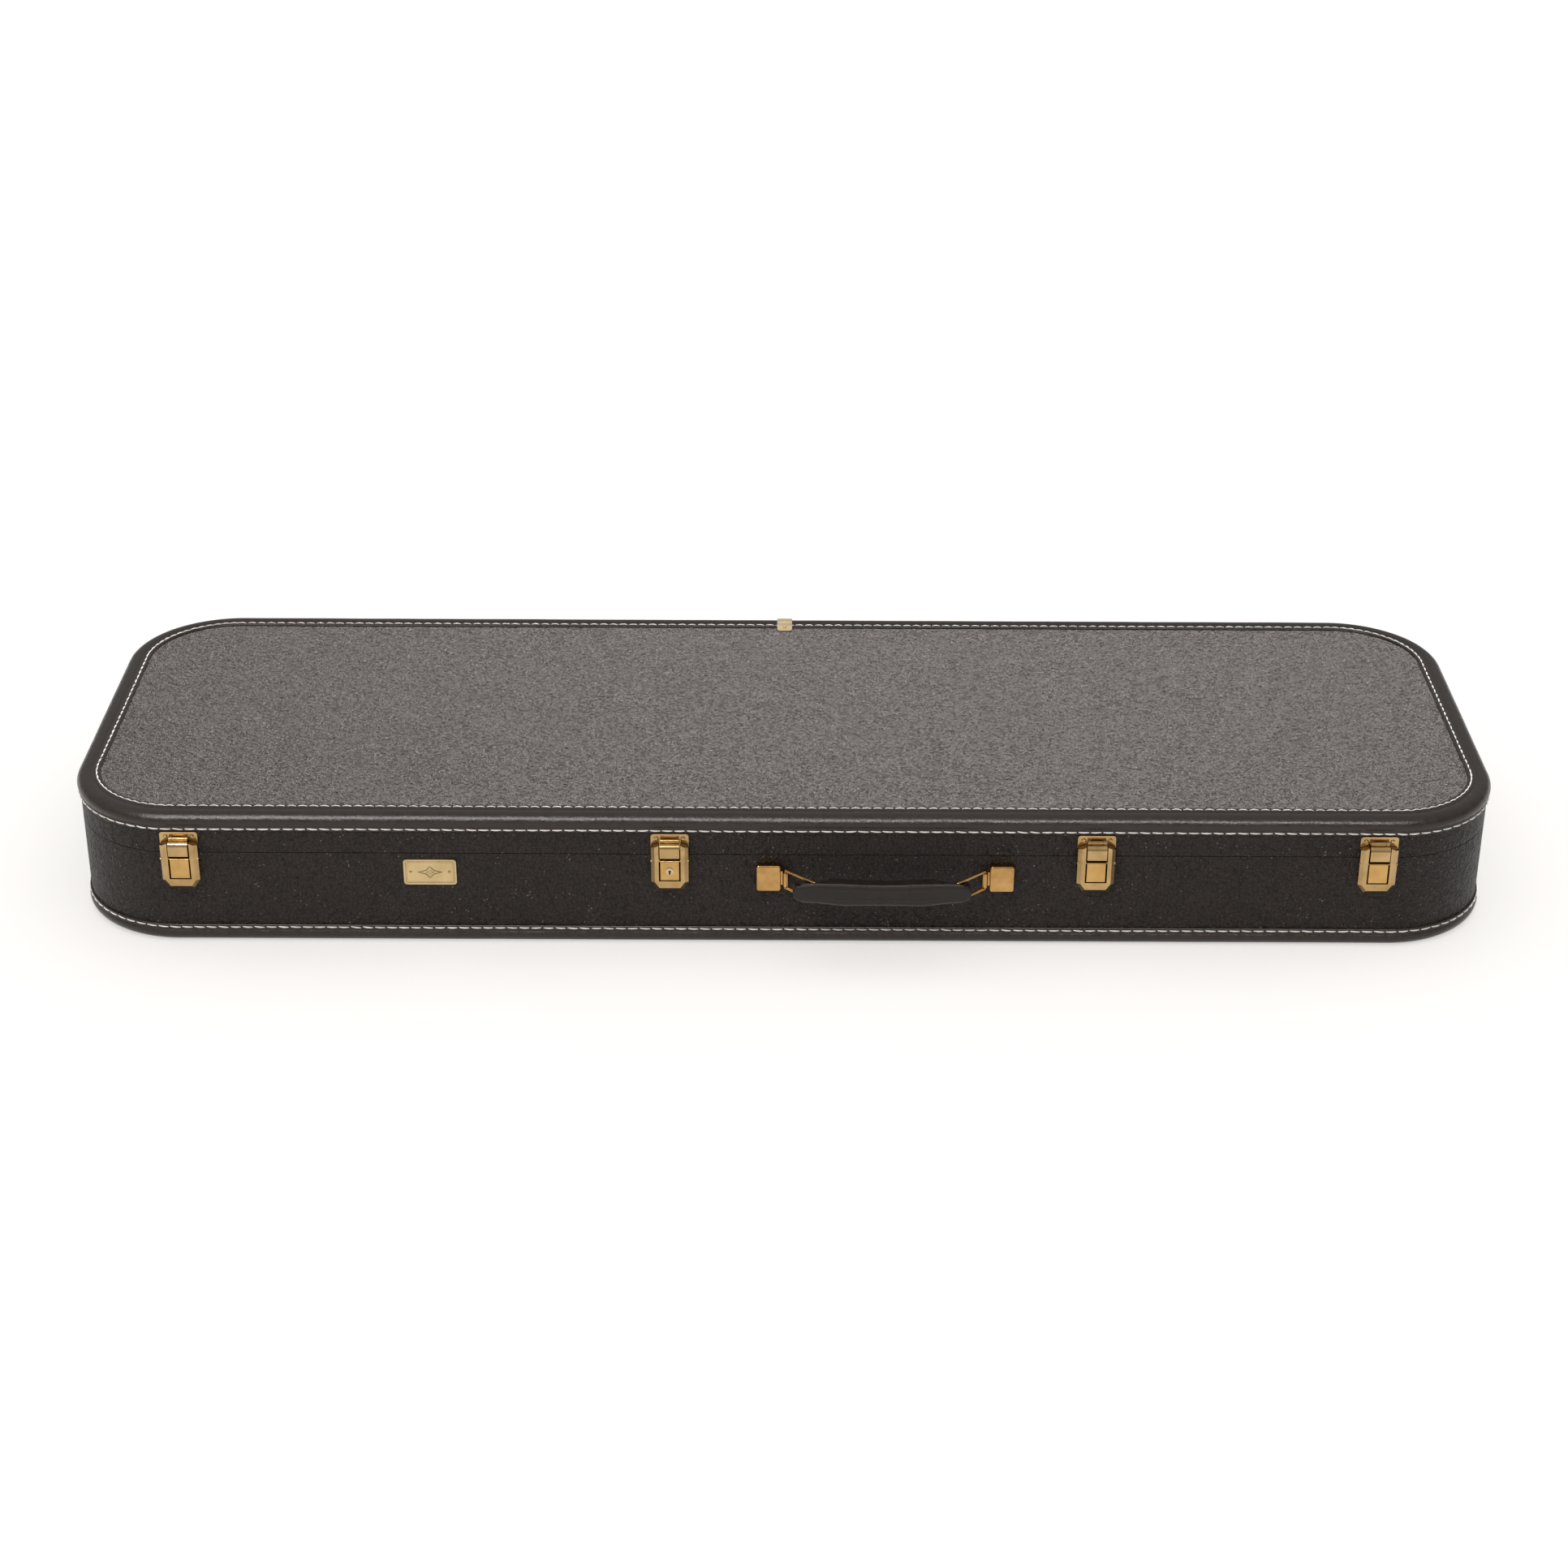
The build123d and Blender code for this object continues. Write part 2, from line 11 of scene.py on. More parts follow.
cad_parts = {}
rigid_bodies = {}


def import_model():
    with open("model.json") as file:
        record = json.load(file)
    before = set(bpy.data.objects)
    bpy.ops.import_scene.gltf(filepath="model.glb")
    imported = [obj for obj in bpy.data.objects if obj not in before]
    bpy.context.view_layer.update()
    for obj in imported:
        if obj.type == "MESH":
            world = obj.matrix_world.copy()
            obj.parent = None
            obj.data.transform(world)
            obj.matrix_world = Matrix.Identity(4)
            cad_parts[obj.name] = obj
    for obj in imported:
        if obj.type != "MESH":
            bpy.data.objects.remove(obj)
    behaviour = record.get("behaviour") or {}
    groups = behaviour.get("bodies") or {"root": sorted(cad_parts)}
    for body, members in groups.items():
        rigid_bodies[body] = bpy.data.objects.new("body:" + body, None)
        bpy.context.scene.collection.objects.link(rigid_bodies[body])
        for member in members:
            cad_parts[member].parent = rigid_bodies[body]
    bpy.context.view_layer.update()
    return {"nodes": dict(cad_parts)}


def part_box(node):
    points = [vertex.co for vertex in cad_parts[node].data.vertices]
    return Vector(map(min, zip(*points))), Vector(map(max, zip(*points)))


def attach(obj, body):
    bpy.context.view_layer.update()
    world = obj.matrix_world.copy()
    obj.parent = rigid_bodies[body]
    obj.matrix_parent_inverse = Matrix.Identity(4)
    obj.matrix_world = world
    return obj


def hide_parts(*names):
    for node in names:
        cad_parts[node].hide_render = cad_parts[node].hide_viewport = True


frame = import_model()
NODES = frame["nodes"]
random.seed(7)
MM = 0.001

# The case, read from its covering and bindings
base_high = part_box("base_covering")[1]
lid_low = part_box("lid_covering")[0]
HALF_X = base_high.x
HALF_Y = base_high.y
FRONT = -HALF_Y
BACK = HALF_Y
SEAM = (base_high.z + lid_low.z) / 2
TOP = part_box("lid_edge_binding")[1].z
CORNER = 82 * MM

# The edge binding's section, as in the CAD: outset from the wall, height from the case's face
FLANGE_PROUD = 1.1 * MM
FLANGE_LEVEL = 0.3 * MM
SIDE_STITCH = 12.4 * MM
FACE_STITCH = 13.5 * MM
SIDE_PITCH = 9.2 * MM
FACE_PITCH = 8.1 * MM
STITCH_SHARE = 0.86
THREAD = 0.63 * MM


# ---------------------------------------------------------------- materials

class Shade:
    """A material under construction: a principled shader with helpers for its nodes."""

    def __init__(self, name, **constants):
        self.material = bpy.data.materials.new(name)
        self.material.use_nodes = True
        self.tree = self.material.node_tree
        self.shader = self.tree.nodes["Principled BSDF"]
        for socket, value in constants.items():
            self.shader.inputs[socket.replace("_", " ")].default_value = value
        self.position = self.tree.nodes.new("ShaderNodeTexCoord").outputs["Object"]

    def node(self, kind, **settings):
        made = self.tree.nodes.new(kind)
        for key, value in settings.items():
            setattr(made, key, value)
        return made

    def link(self, source, target):
        self.tree.links.new(source, target)

    def noise(self, scale, detail=4.0, roughness=0.5, stretch=None, distortion=0.0):
        """Noise over the object's own coordinates, with scale in cycles per metre."""
        made = self.node("ShaderNodeTexNoise")
        made.inputs["Scale"].default_value = scale
        made.inputs["Detail"].default_value = detail
        made.inputs["Roughness"].default_value = roughness
        made.inputs["Distortion"].default_value = distortion
        self.link(self.stretched(stretch), made.inputs["Vector"])
        return made.outputs["Fac"]

    def cells(self, scale, feature="F1", smooth=None, warp=0.0):
        """Voronoi cells over the object's own coordinates, bent by a noise if warp is given."""
        made = self.node("ShaderNodeTexVoronoi", feature=feature)
        made.inputs["Scale"].default_value = scale
        if smooth is not None:
            made.inputs["Smoothness"].default_value = smooth
        source = self.position
        if warp:
            field = self.node("ShaderNodeTexNoise")
            field.inputs["Scale"].default_value = scale * 0.5
            field.inputs["Detail"].default_value = 2.0
            self.link(self.position, field.inputs["Vector"])
            mix = self.node("ShaderNodeVectorMath", operation="MULTIPLY_ADD")
            self.link(field.outputs["Color"], mix.inputs[0])
            mix.inputs[1].default_value = (warp, warp, warp)
            self.link(self.position, mix.inputs[2])
            source = mix.outputs["Vector"]
        self.link(source, made.inputs["Vector"])
        return made.outputs["Distance"]

    def stretched(self, stretch):
        """The object's own coordinates, scaled axis by axis."""
        if stretch is None:
            return self.position
        made = self.node("ShaderNodeMapping")
        made.inputs["Scale"].default_value = stretch
        self.link(self.position, made.inputs["Vector"])
        return made.outputs["Vector"]

    def ramp(self, value, *stops):
        """Colour or grey ramp through (place, colour) stops."""
        made = self.node("ShaderNodeValToRGB")
        elements = made.color_ramp.elements
        while len(elements) < len(stops):
            elements.new(0.5)
        for element, (place, colour) in zip(elements, stops):
            element.position = place
            element.color = (*colour, 1) if hasattr(colour, "__len__") else (colour, colour, colour, 1)
        self.link(value, made.inputs["Fac"])
        return made.outputs["Color"]

    def maths(self, operation, first, second):
        made = self.node("ShaderNodeMath", operation=operation)
        for place, value in enumerate((first, second)):
            if isinstance(value, (int, float)):
                made.inputs[place].default_value = value
            else:
                self.link(value, made.inputs[place])
        return made.outputs["Value"]

    def mix(self, factor, first, second):
        made = self.node("ShaderNodeMix", data_type="RGBA")
        for place, value in ((0, factor), (6, first), (7, second)):
            if isinstance(value, (int, float)):
                made.inputs[place].default_value = value
            elif isinstance(value, tuple):
                made.inputs[place].default_value = (*value, 1)
            else:
                self.link(value, made.inputs[place])
        return made.outputs[2]

    def colour(self, value):
        self.link(value, self.shader.inputs["Base Color"])

    def rough(self, value):
        self.link(value, self.shader.inputs["Roughness"])

    def bump(self, *layers):
        """Bump from (height, distance in metres, strength) layers, the first one underneath."""
        normal = None
        for height, distance, strength in layers:
            made = self.node("ShaderNodeBump")
            made.inputs["Distance"].default_value = distance
            made.inputs["Strength"].default_value = strength
            self.link(height, made.inputs["Height"])
            if normal is not None:
                self.link(normal, made.inputs["Normal"])
            normal = made.outputs["Normal"]
        self.link(normal, self.shader.inputs["Normal"])


def dimmed(light, colour):
    """A colour with its brightness scaled."""
    return tuple(light * part for part in colour)


def vinyl_material():
    """Black-brown pebbled covering: irregular grains with creases between them, the creases darkened as
    painted shade, and a little dust.
    """
    s = Shade("vinyl_covering", Specular_IOR_Level=0.27, IOR=1.5)
    grain = s.cells(340, feature="SMOOTH_F1", smooth=0.25, warp=0.0026)
    crease = s.ramp(s.cells(340, feature="DISTANCE_TO_EDGE", warp=0.0026), (0.0, 0.0), (0.26, 1.0))
    fine = s.noise(1100, detail=4, roughness=0.65)
    waves = s.noise(9, detail=2)
    worn = s.noise(38, detail=6, roughness=0.65)
    tone = s.ramp(worn, (0.30, (0.0185, 0.0128, 0.0104)), (0.62, (0.0232, 0.0167, 0.0140)),
                  (0.80, (0.030, 0.0230, 0.0198)))
    # painted shade: the creases between the grains are darkened towards near black
    tone = s.mix(s.ramp(crease, (0.0, 0.75), (0.5, 0.0)), tone, (0.004, 0.0029, 0.0024))
    fleck = s.ramp(s.cells(300, warp=0.0016), (0.10, 0.75), (0.20, 0.0))
    pick = s.ramp(s.noise(110, detail=3), (0.54, 0.0), (0.60, 1.0))
    s.colour(s.mix(s.maths("MULTIPLY", fleck, pick), tone, (0.24, 0.20, 0.18)))
    s.rough(s.ramp(s.mix(0.5, grain, s.noise(140, detail=4)), (0.2, 0.36), (0.8, 0.54)))
    s.bump((waves, 0.004, 0.10), (crease, 0.0016, 1.0), (grain, 0.0022, 0.8), (fine, 0.0004, 0.8))
    return s.material


def binding_material():
    """Smooth rolled binding: low gloss, faint grain, ripples from the rolling, scuffs."""
    s = Shade("binding_leather", Specular_IOR_Level=0.30, IOR=1.5)
    grain = s.cells(800, feature="SMOOTH_F1", smooth=0.6, warp=0.001)
    ripple = s.noise(70, detail=3, roughness=0.6)
    scuff = s.noise(170, detail=6, roughness=0.7)
    s.colour(s.ramp(scuff, (0.35, (0.0130, 0.0092, 0.0077)), (0.7, (0.0182, 0.0136, 0.0114)),
                    (0.86, (0.044, 0.036, 0.032))))
    s.rough(s.ramp(scuff, (0.3, 0.22), (0.75, 0.36)))
    s.bump((ripple, 0.0018, 0.28), (grain, 0.00022, 0.45), (s.noise(2600, detail=2), 0.00005, 0.4))
    return s.material


def thread_material(name, light):
    """Waxed off-white thread with its twist. light scales its colour; the face rows get a darker copy as
    painted shade.
    """
    s = Shade(name, Roughness=0.62, Specular_IOR_Level=0.35, Sheen_Weight=0.25, Sheen_Roughness=0.5)
    twist = s.node("ShaderNodeTexWave", wave_type="BANDS", bands_direction="DIAGONAL")
    twist.inputs["Scale"].default_value = 900
    twist.inputs["Distortion"].default_value = 1.2
    s.link(s.position, twist.inputs["Vector"])
    tones = ((0.3, (0.70, 0.65, 0.60)), (0.55, (0.88, 0.84, 0.79)), (0.8, (0.95, 0.92, 0.88)))
    stops = [(at, dimmed(light, tone)) for at, tone in tones]
    s.colour(s.ramp(s.noise(60, detail=5), *stops))
    s.bump((twist.outputs["Fac"], 0.0002, 0.6))
    return s.material


def brass_material(name, bright, deep, base_rough, brushed, tarnish=0.35):
    """Brass with brushing along X, slight colour drift and darker, duller patches."""
    s = Shade(name, Metallic=1.0, Specular_IOR_Level=0.5)
    drift = s.noise(85, detail=3)
    patch = s.noise(420, detail=6, roughness=0.7)
    colour = s.ramp(drift, (0.3, deep), (0.68, bright))
    dull = s.ramp(patch, (0.62, 0.0), (0.80, tarnish))
    s.colour(s.mix(dull, colour, dimmed(0.55, deep)))
    lines = s.noise(900, detail=5, roughness=0.7, stretch=(0.04, 1.0, 1.0))
    s.rough(s.ramp(s.mix(0.5, lines, patch), (0.25, base_rough * 0.75), (0.8, base_rough * 1.4)))
    s.bump((s.noise(110, detail=2), 0.0003, 0.07), (lines, 0.00005, brushed))
    return s.material


def steel_material():
    """Zinc-plated steel of the hinge pins."""
    s = Shade("steel", Metallic=1.0)
    spangle = s.cells(600)
    s.colour(s.ramp(spangle, (0.0, (0.42, 0.42, 0.43)), (0.6, (0.60, 0.59, 0.57))))
    s.rough(s.ramp(s.noise(900, detail=4), (0.3, 0.26), (0.8, 0.44)))
    s.bump((s.noise(1500, detail=3), 0.00004, 0.4))
    return s.material


def nickel_material():
    """Yellowish nickel of the lock cylinder."""
    s = Shade("lock_nickel", Metallic=1.0)
    rings = s.noise(2400, detail=3)
    s.colour(s.ramp(rings, (0.3, (0.52, 0.41, 0.23)), (0.8, (0.66, 0.53, 0.32))))
    s.rough(s.ramp(s.noise(800, detail=4), (0.3, 0.16), (0.8, 0.30)))
    s.bump((rings, 0.00003, 0.3))
    return s.material


def dark_thread_material():
    """Black waxed thread of the grip."""
    s = Shade("dark_thread", Specular_IOR_Level=0.4)
    s.colour(s.ramp(s.noise(700), (0.3, (0.020, 0.018, 0.017)), (0.8, (0.055, 0.050, 0.047))))
    s.rough(s.ramp(s.noise(1400), (0.3, 0.45), (0.8, 0.62)))
    return s.material


def tarnish_material():
    """Darkened brass in the engraved lines."""
    s = Shade("tarnished_brass", Metallic=0.7)
    s.colour(s.ramp(s.noise(900), (0.3, (0.12, 0.085, 0.040)), (0.8, (0.26, 0.185, 0.090))))
    s.rough(s.ramp(s.noise(1400), (0.3, 0.4), (0.8, 0.6)))
    return s.material


def plywood_material():
    """Birch plywood: long pale grain with brown glue lines at the edges."""
    s = Shade("plywood", Specular_IOR_Level=0.3)
    figure = s.noise(60, detail=6, roughness=0.6, stretch=(0.05, 1.0, 1.0), distortion=0.6)
    plies = s.node("ShaderNodeTexWave", wave_type="BANDS", bands_direction="Z")
    plies.inputs["Scale"].default_value = 330
    plies.inputs["Distortion"].default_value = 0.3
    s.link(s.position, plies.inputs["Vector"])
    wood = s.ramp(figure, (0.3, (0.42, 0.27, 0.14)), (0.7, (0.60, 0.43, 0.26)))
    s.colour(s.mix(s.ramp(plies.outputs["Fac"], (0.0, 0.45), (0.25, 0.0)), wood, (0.16, 0.08, 0.035)))
    s.rough(s.ramp(figure, (0.3, 0.62), (0.7, 0.78)))
    s.bump((figure, 0.0003, 0.3))
    return s.material


def plush_material():
    """Short-pile wine-red plush: brushed patches where the pile lies another way."""
    s = Shade("plush", Specular_IOR_Level=0.12, Sheen_Weight=0.75, Sheen_Roughness=0.42)
    s.shader.inputs["Sheen Tint"].default_value = (0.95, 0.42, 0.44, 1)
    pile = s.noise(3200, detail=3, roughness=0.7)
    brushed = s.noise(26, detail=4, roughness=0.6, distortion=0.8)
    tufts = s.noise(520, detail=4, roughness=0.6, stretch=(0.6, 1.0, 1.0))
    lay = s.mix(0.35, brushed, tufts)
    body = s.ramp(lay, (0.34, (0.080, 0.006, 0.012)), (0.52, (0.150, 0.012, 0.022)),
                  (0.68, (0.235, 0.026, 0.040)))
    s.colour(s.mix(s.ramp(pile, (0.3, 0.55), (0.7, 0.0)), body, (0.040, 0.002, 0.005)))
    s.rough(s.ramp(brushed, (0.3, 0.80), (0.7, 0.96)))
    s.bump((brushed, 0.0015, 0.25), (tufts, 0.0006, 0.5), (pile, 0.0005, 0.9))
    return s.material


def grip_material(name, light, gloss, smooth):
    """Smooth black leather of the grip, with fine creases. light scales the colour: the seams' copy is
    lighter as a painted highlight, and smoother.
    """
    s = Shade(name, Specular_IOR_Level=gloss, IOR=1.5)
    crease = s.cells(1300, feature="DISTANCE_TO_EDGE", warp=0.0007)
    hand = s.noise(90, detail=5, roughness=0.6)
    dark, pale = (0.0115, 0.0083, 0.0070), (0.0190, 0.0142, 0.0120)
    s.colour(s.ramp(hand, (0.3, dimmed(light, dark)), (0.7, dimmed(light, pale))))
    s.rough(s.ramp(hand, (0.3, 0.34 * smooth), (0.7, 0.50 * smooth)))
    s.bump((s.noise(45, detail=2), 0.0008, 0.2), (s.ramp(crease, (0.0, 0.0), (0.12, 1.0)), 0.00008, 0.4))
    return s.material


def floor_material():
    """Plain pale floor."""
    s = Shade("floor", Roughness=0.75, Specular_IOR_Level=0.15, Emission_Strength=0.52)
    s.shader.inputs["Emission Color"].default_value = (1.0, 0.977, 0.957, 1)
    s.colour(s.ramp(s.noise(3), (0.3, (0.93, 0.912, 0.895)), (0.7, (0.95, 0.932, 0.915))))
    return s.material


VINYL = vinyl_material()
BINDING = binding_material()
SIDE_THREAD = thread_material("side_thread", 1.0)
# painted shade: the face rows' thread is a darker copy of the side rows' thread
FACE_THREAD_PAINTED_SHADE = thread_material("face_thread", 0.55)
BRASS = brass_material("brushed_brass", (0.53, 0.355, 0.162), (0.38, 0.247, 0.105), 0.20, 0.30)
BLOCK = brass_material("lever_brass", (0.58, 0.36, 0.125), (0.47, 0.275, 0.090), 0.18, 0.18, 0.2)
PLATE = brass_material("engraved_brass", (0.66, 0.50, 0.265), (0.55, 0.41, 0.205), 0.34, 0.40, 0.2)
CLIP = brass_material("pale_brass", (0.98, 0.80, 0.50), (0.88, 0.70, 0.42), 0.38, 0.20, 0.15)
GOLD = brass_material("polished_brass", (0.54, 0.325, 0.125), (0.39, 0.215, 0.070), 0.14, 0.08, 0.25)
STEEL = steel_material()
NICKEL = nickel_material()
DARK_THREAD = dark_thread_material()
TARNISH = tarnish_material()
PLYWOOD = plywood_material()
PLUSH = plush_material()
LEATHER = grip_material("grip_leather", 1.0, 0.30, 1.0)
# painted highlight: the seams' leather is 3.2 times lighter than the grip's
LEATHER_EDGE_PAINTED_HIGHLIGHT = grip_material("grip_leather_edge_painted_highlight", 3.2, 0.50, 0.7)


# ---------------------------------------------------------------- mesh helpers

def new_object(name, mesh, material, body):
    """Put a mesh in the scene as a piece that rides on a body."""
    piece = bpy.data.objects.new(name, mesh)
    bpy.context.scene.collection.objects.link(piece)
    mesh.materials.clear()
    mesh.materials.append(material)
    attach(piece, body)
    return piece


def mesh_from(name, work):
    """Turn a bmesh into a smooth-shaded mesh."""
    bmesh.ops.recalc_face_normals(work, faces=work.faces)
    mesh = bpy.data.meshes.new(name)
    work.to_mesh(mesh)
    work.free()
    mesh.shade_smooth()
    return mesh


def join_rings(work, rings):
    """Faces between rings of points that follow each other, and a cap on each end."""
    sides = len(rings[0])
    for ring, following in zip(rings, rings[1:]):
        for corner in range(sides):
            near = (corner + 1) % sides
            work.faces.new((ring[corner], ring[near], following[near], following[corner]))
    work.faces.new(rings[0][::-1])
    work.faces.new(rings[-1])


def plan_point(distance, outset):
    """Point and outward direction on the plan's outline, a distance along it from the front's middle.
    The outline runs along the front towards +X, and outset moves it out from the wall."""
    straight_x = HALF_X - CORNER
    straight_y = HALF_Y - CORNER
    arc = CORNER * math.pi / 2
    runs = (
        (straight_x, Vector((0, FRONT, 0)), 0),
        (arc, None, -90),
        (2 * straight_y, Vector((HALF_X, -straight_y, 0)), 90),
        (arc, None, 0),
        (2 * straight_x, Vector((straight_x, BACK, 0)), 180),
        (arc, None, 90),
        (2 * straight_y, Vector((-HALF_X, straight_y, 0)), 270),
        (arc, None, 180),
        (straight_x, Vector((-straight_x, FRONT, 0)), 0),
    )
    centres = {
        -90: (straight_x, -straight_y),
        0: (straight_x, straight_y),
        90: (-straight_x, straight_y),
        180: (-straight_x, -straight_y),
    }
    distance %= plan_length()
    for length, start, turn in runs:
        if distance <= length:
            break
        distance -= length
    if start is None:
        angle = math.radians(turn) + distance / CORNER
        out = Vector((math.cos(angle), math.sin(angle), 0))
        centre = Vector((*centres[turn], 0))
        return centre + out * (CORNER + outset), out
    along = Vector((math.cos(math.radians(turn)), math.sin(math.radians(turn)), 0))
    out = Vector((along.y, -along.x, 0))
    return start + along * distance + out * outset, out


def plan_length():
    """Length of the plan's outline at the wall."""
    return 4 * (HALF_X - CORNER) + 4 * (HALF_Y - CORNER) + 2 * math.pi * CORNER


def inset_length(inset):
    """Length of the outline a given distance inside the wall."""
    return plan_length() - 2 * math.pi * inset


# ---------------------------------------------------------------- edge bindings and their stitching

ROLLED_PLACES = range(8, 16)


def binding_section():
    """Outer outline of the binding as (outset, height above the case's face), then back along the case."""
    face = [(-16.6, 1.5), (-16.5, 0.55), (-15.9, 0.3), (-13.5, 0.32), (-11.3, 0.3), (-10.7, 0.75)]
    face += [(-9.9, 0.95), (-9.0, 0.5)]
    roll = [(-7.6, 0.05), (-4.0, 0.15), (-1.6, 0.95), (0.05, 2.35), (1.15, 4.0), (1.75, 5.6)]
    roll += [(1.95, 6.9), (1.75, 8.3), (1.25, 9.4)]
    side = [(0.75, 10.2), (0.95, 10.7), (1.1, 11.2), (1.1, 13.6), (0.95, 14.25), (0.1, 14.5)]
    outer = face + roll + side
    inner = [(0.0, 7.5), (-1.76, 3.26), (-6.0, 1.5)]
    return [(u * MM, h * MM) for u, h in outer + inner]


def ring_mesh(name, section, spacing, shift):
    """A closed ring swept round the plan. section lists (outset, height), and shift gives how far out and
    up a point moves, from its place in the section and its position."""
    count = int(plan_length() / spacing)
    work = bmesh.new()
    rings = []
    for step in range(count):
        ring = []
        for place, (outset, height) in enumerate(section):
            at, out = plan_point(plan_length() * step / count, outset)
            outward, up = shift(place, Vector((at.x, at.y, height)))
            at = at + out * outward
            ring.append(work.verts.new((at.x, at.y, height + up)))
        rings.append(ring)
    size = len(section)
    for step in range(count):
        ring, following = rings[step], rings[(step + 1) % count]
        for place in range(size):
            near = (place + 1) % size
            work.faces.new((ring[place], ring[near], following[near], following[place]))
    return mesh_from(name, work)


def binding_mesh(name, upside):
    """The binding as one closed ring, with the hand-rolled edge's slight waviness."""
    section = [(outset, TOP - height if upside else height) for outset, height in binding_section()]

    def shift(place, at):
        rolled = place in ROLLED_PLACES
        wave = noise.noise(Vector((at.x * 34, at.y * 34, at.z * 160 + upside * 7))) * 0.20 * MM
        wave += noise.noise(Vector((at.x * 11, at.y * 11, 3.0 + upside * 5))) * 0.16 * MM
        if not rolled:
            wave *= 0.25
        from_face = TOP - at.z if upside else at.z
        if rolled and from_face < 3 * MM:
            sink = min(from_face, wave * 0.5)
            return 0.0, sink if upside else -sink
        return min(wave, 0.1 * MM), 0.0

    return ring_mesh(name, section, 4.5 * MM, shift)


def stitch(work, centre, along, out, length, radius):
    """One stitch: a bowed thread whose ends dive into the binding."""
    side = along.cross(out).normalized()
    steps, sides = 7, 6
    rings = []
    for step in range(steps):
        t = step / (steps - 1)
        lift = (1 - (2 * t - 1) ** 2) * 0.55 - 0.25
        thick = radius * (0.55 + 0.45 * math.sin(math.pi * min(max(t, 0.08), 0.92)))
        middle = centre + along * (t - 0.5) * length + out * lift * radius * 1.6
        ring = []
        for corner in range(sides):
            angle = 2 * math.pi * corner / sides
            offset = side * math.cos(angle) + out * math.sin(angle) * 0.8
            ring.append(work.verts.new(middle + offset * thick))
        rings.append(ring)
    join_rings(work, rings)


def stitch_row(name, body, outset, height, pitch, face_up, radius=THREAD):
    """A row of stitches round the case. face_up is 0 on a side, or the sign of Z on a top or bottom face."""
    work = bmesh.new()
    inset = -outset
    total = inset_length(inset) if face_up else plan_length()
    count = round(total / pitch)
    for step in range(count):
        distance = plan_length() * (step + 0.5) / count
        jitter = random.uniform(-0.12, 0.12)
        at, out = plan_point(distance + jitter * MM, outset)
        ahead, _ = plan_point(distance + 1.5 * MM, outset)
        behind, _ = plan_point(distance - 1.5 * MM, outset)
        along = (ahead - behind).normalized()
        normal = Vector((0, 0, face_up)) if face_up else out
        across = along.cross(normal).normalized()
        along = (along + across * random.gauss(0.035, 0.035)).normalized()
        wander = noise.noise(Vector((distance * 9, height * 50, 2.5))) * 0.35 * MM
        centre = Vector((at.x, at.y, height)) + across * wander
        span = total / count * (STITCH_SHARE + random.uniform(-0.035, 0.035))
        stitch(work, centre, along, normal, span, radius * random.uniform(0.92, 1.08))
    thread = FACE_THREAD_PAINTED_SHADE if face_up else SIDE_THREAD
    new_object(name, mesh_from(name, work), thread, body)


def build_bindings():
    """Rolled bindings of both halves and the four rows of stitches on them."""
    for half, upside in (("base", 0), ("lid", 1)):
        node = half + "_edge_binding"
        mesh = binding_mesh(half + "_binding_roll", upside)
        piece = new_object(half + "_binding_roll", mesh, BINDING, half)
        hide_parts(node)
        side_z = TOP - SIDE_STITCH if upside else SIDE_STITCH
        face_z = TOP - FLANGE_LEVEL if upside else FLANGE_LEVEL
        stitch_row(half + "_side_stitches", half, FLANGE_PROUD, side_z, SIDE_PITCH, 0)
        upward = 1 if upside else -1
        face_thread = THREAD if upside else THREAD * 0.45
        stitch_row(half + "_face_stitches", half, -FACE_STITCH, face_z, FACE_PITCH, upward, face_thread)


build_bindings()


# ---------------------------------------------------------------- soft pieces inside

def applied(piece):
    """Bake a piece's modifiers into its mesh."""
    evaluated = piece.evaluated_get(bpy.context.evaluated_depsgraph_get())
    mesh = bpy.data.meshes.new_from_object(evaluated)
    piece.modifiers.clear()
    piece.data = mesh
    return mesh


def remeshed(node, name, voxel):
    """A voxel-remeshed copy of a CAD node, not riding on anything yet."""
    piece = bpy.data.objects.new(name, NODES[node].data.copy())
    bpy.context.scene.collection.objects.link(piece)
    modifier = piece.modifiers.new("remesh", "REMESH")
    modifier.mode = "VOXEL"
    modifier.voxel_size = voxel
    applied(piece)
    return piece


def relaxed(piece, rounds):
    """Soften a piece's edges by moving each point towards its neighbours."""
    every_axis = {"use_axis_x": True, "use_axis_y": True, "use_axis_z": True}
    work = bmesh.new()
    work.from_mesh(piece.data)
    for _ in range(rounds):
        bmesh.ops.smooth_vert(work, verts=work.verts, factor=0.5, **every_axis)
    work.to_mesh(piece.data)
    work.free()


def inflate(piece, frames, cap):
    """Cloth simulation under pressure, with no gravity. No point moves further than cap."""
    before = [vertex.co.copy() for vertex in piece.data.vertices]
    cloth = piece.modifiers.new("cloth", "CLOTH")
    cloth.settings.use_pressure = True
    cloth.settings.uniform_pressure_force = 4
    cloth.settings.effector_weights.gravity = 0
    cloth.settings.mass = 0.3
    cloth.point_cache.frame_end = frames
    for step in range(1, frames + 1):
        bpy.context.scene.frame_set(step)
    applied(piece)
    bpy.context.scene.frame_set(1)
    for vertex, start in zip(piece.data.vertices, before):
        moved = vertex.co - start
        if moved.length > cap:
            vertex.co = start + moved.normalized() * cap


def keep_inside(piece, low, high):
    """Hold every point of a piece inside a box."""
    for vertex in piece.data.vertices:
        vertex.co = Vector(min(max(value, least), most) for value, least, most in zip(vertex.co, low, high))


def finish_soft(piece, body, node):
    """Plush finish and body of a soft piece, with its CAD node hidden."""
    piece.data.materials.clear()
    piece.data.materials.append(PLUSH)
    piece.data.shade_smooth()
    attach(piece, body)
    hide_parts(node)


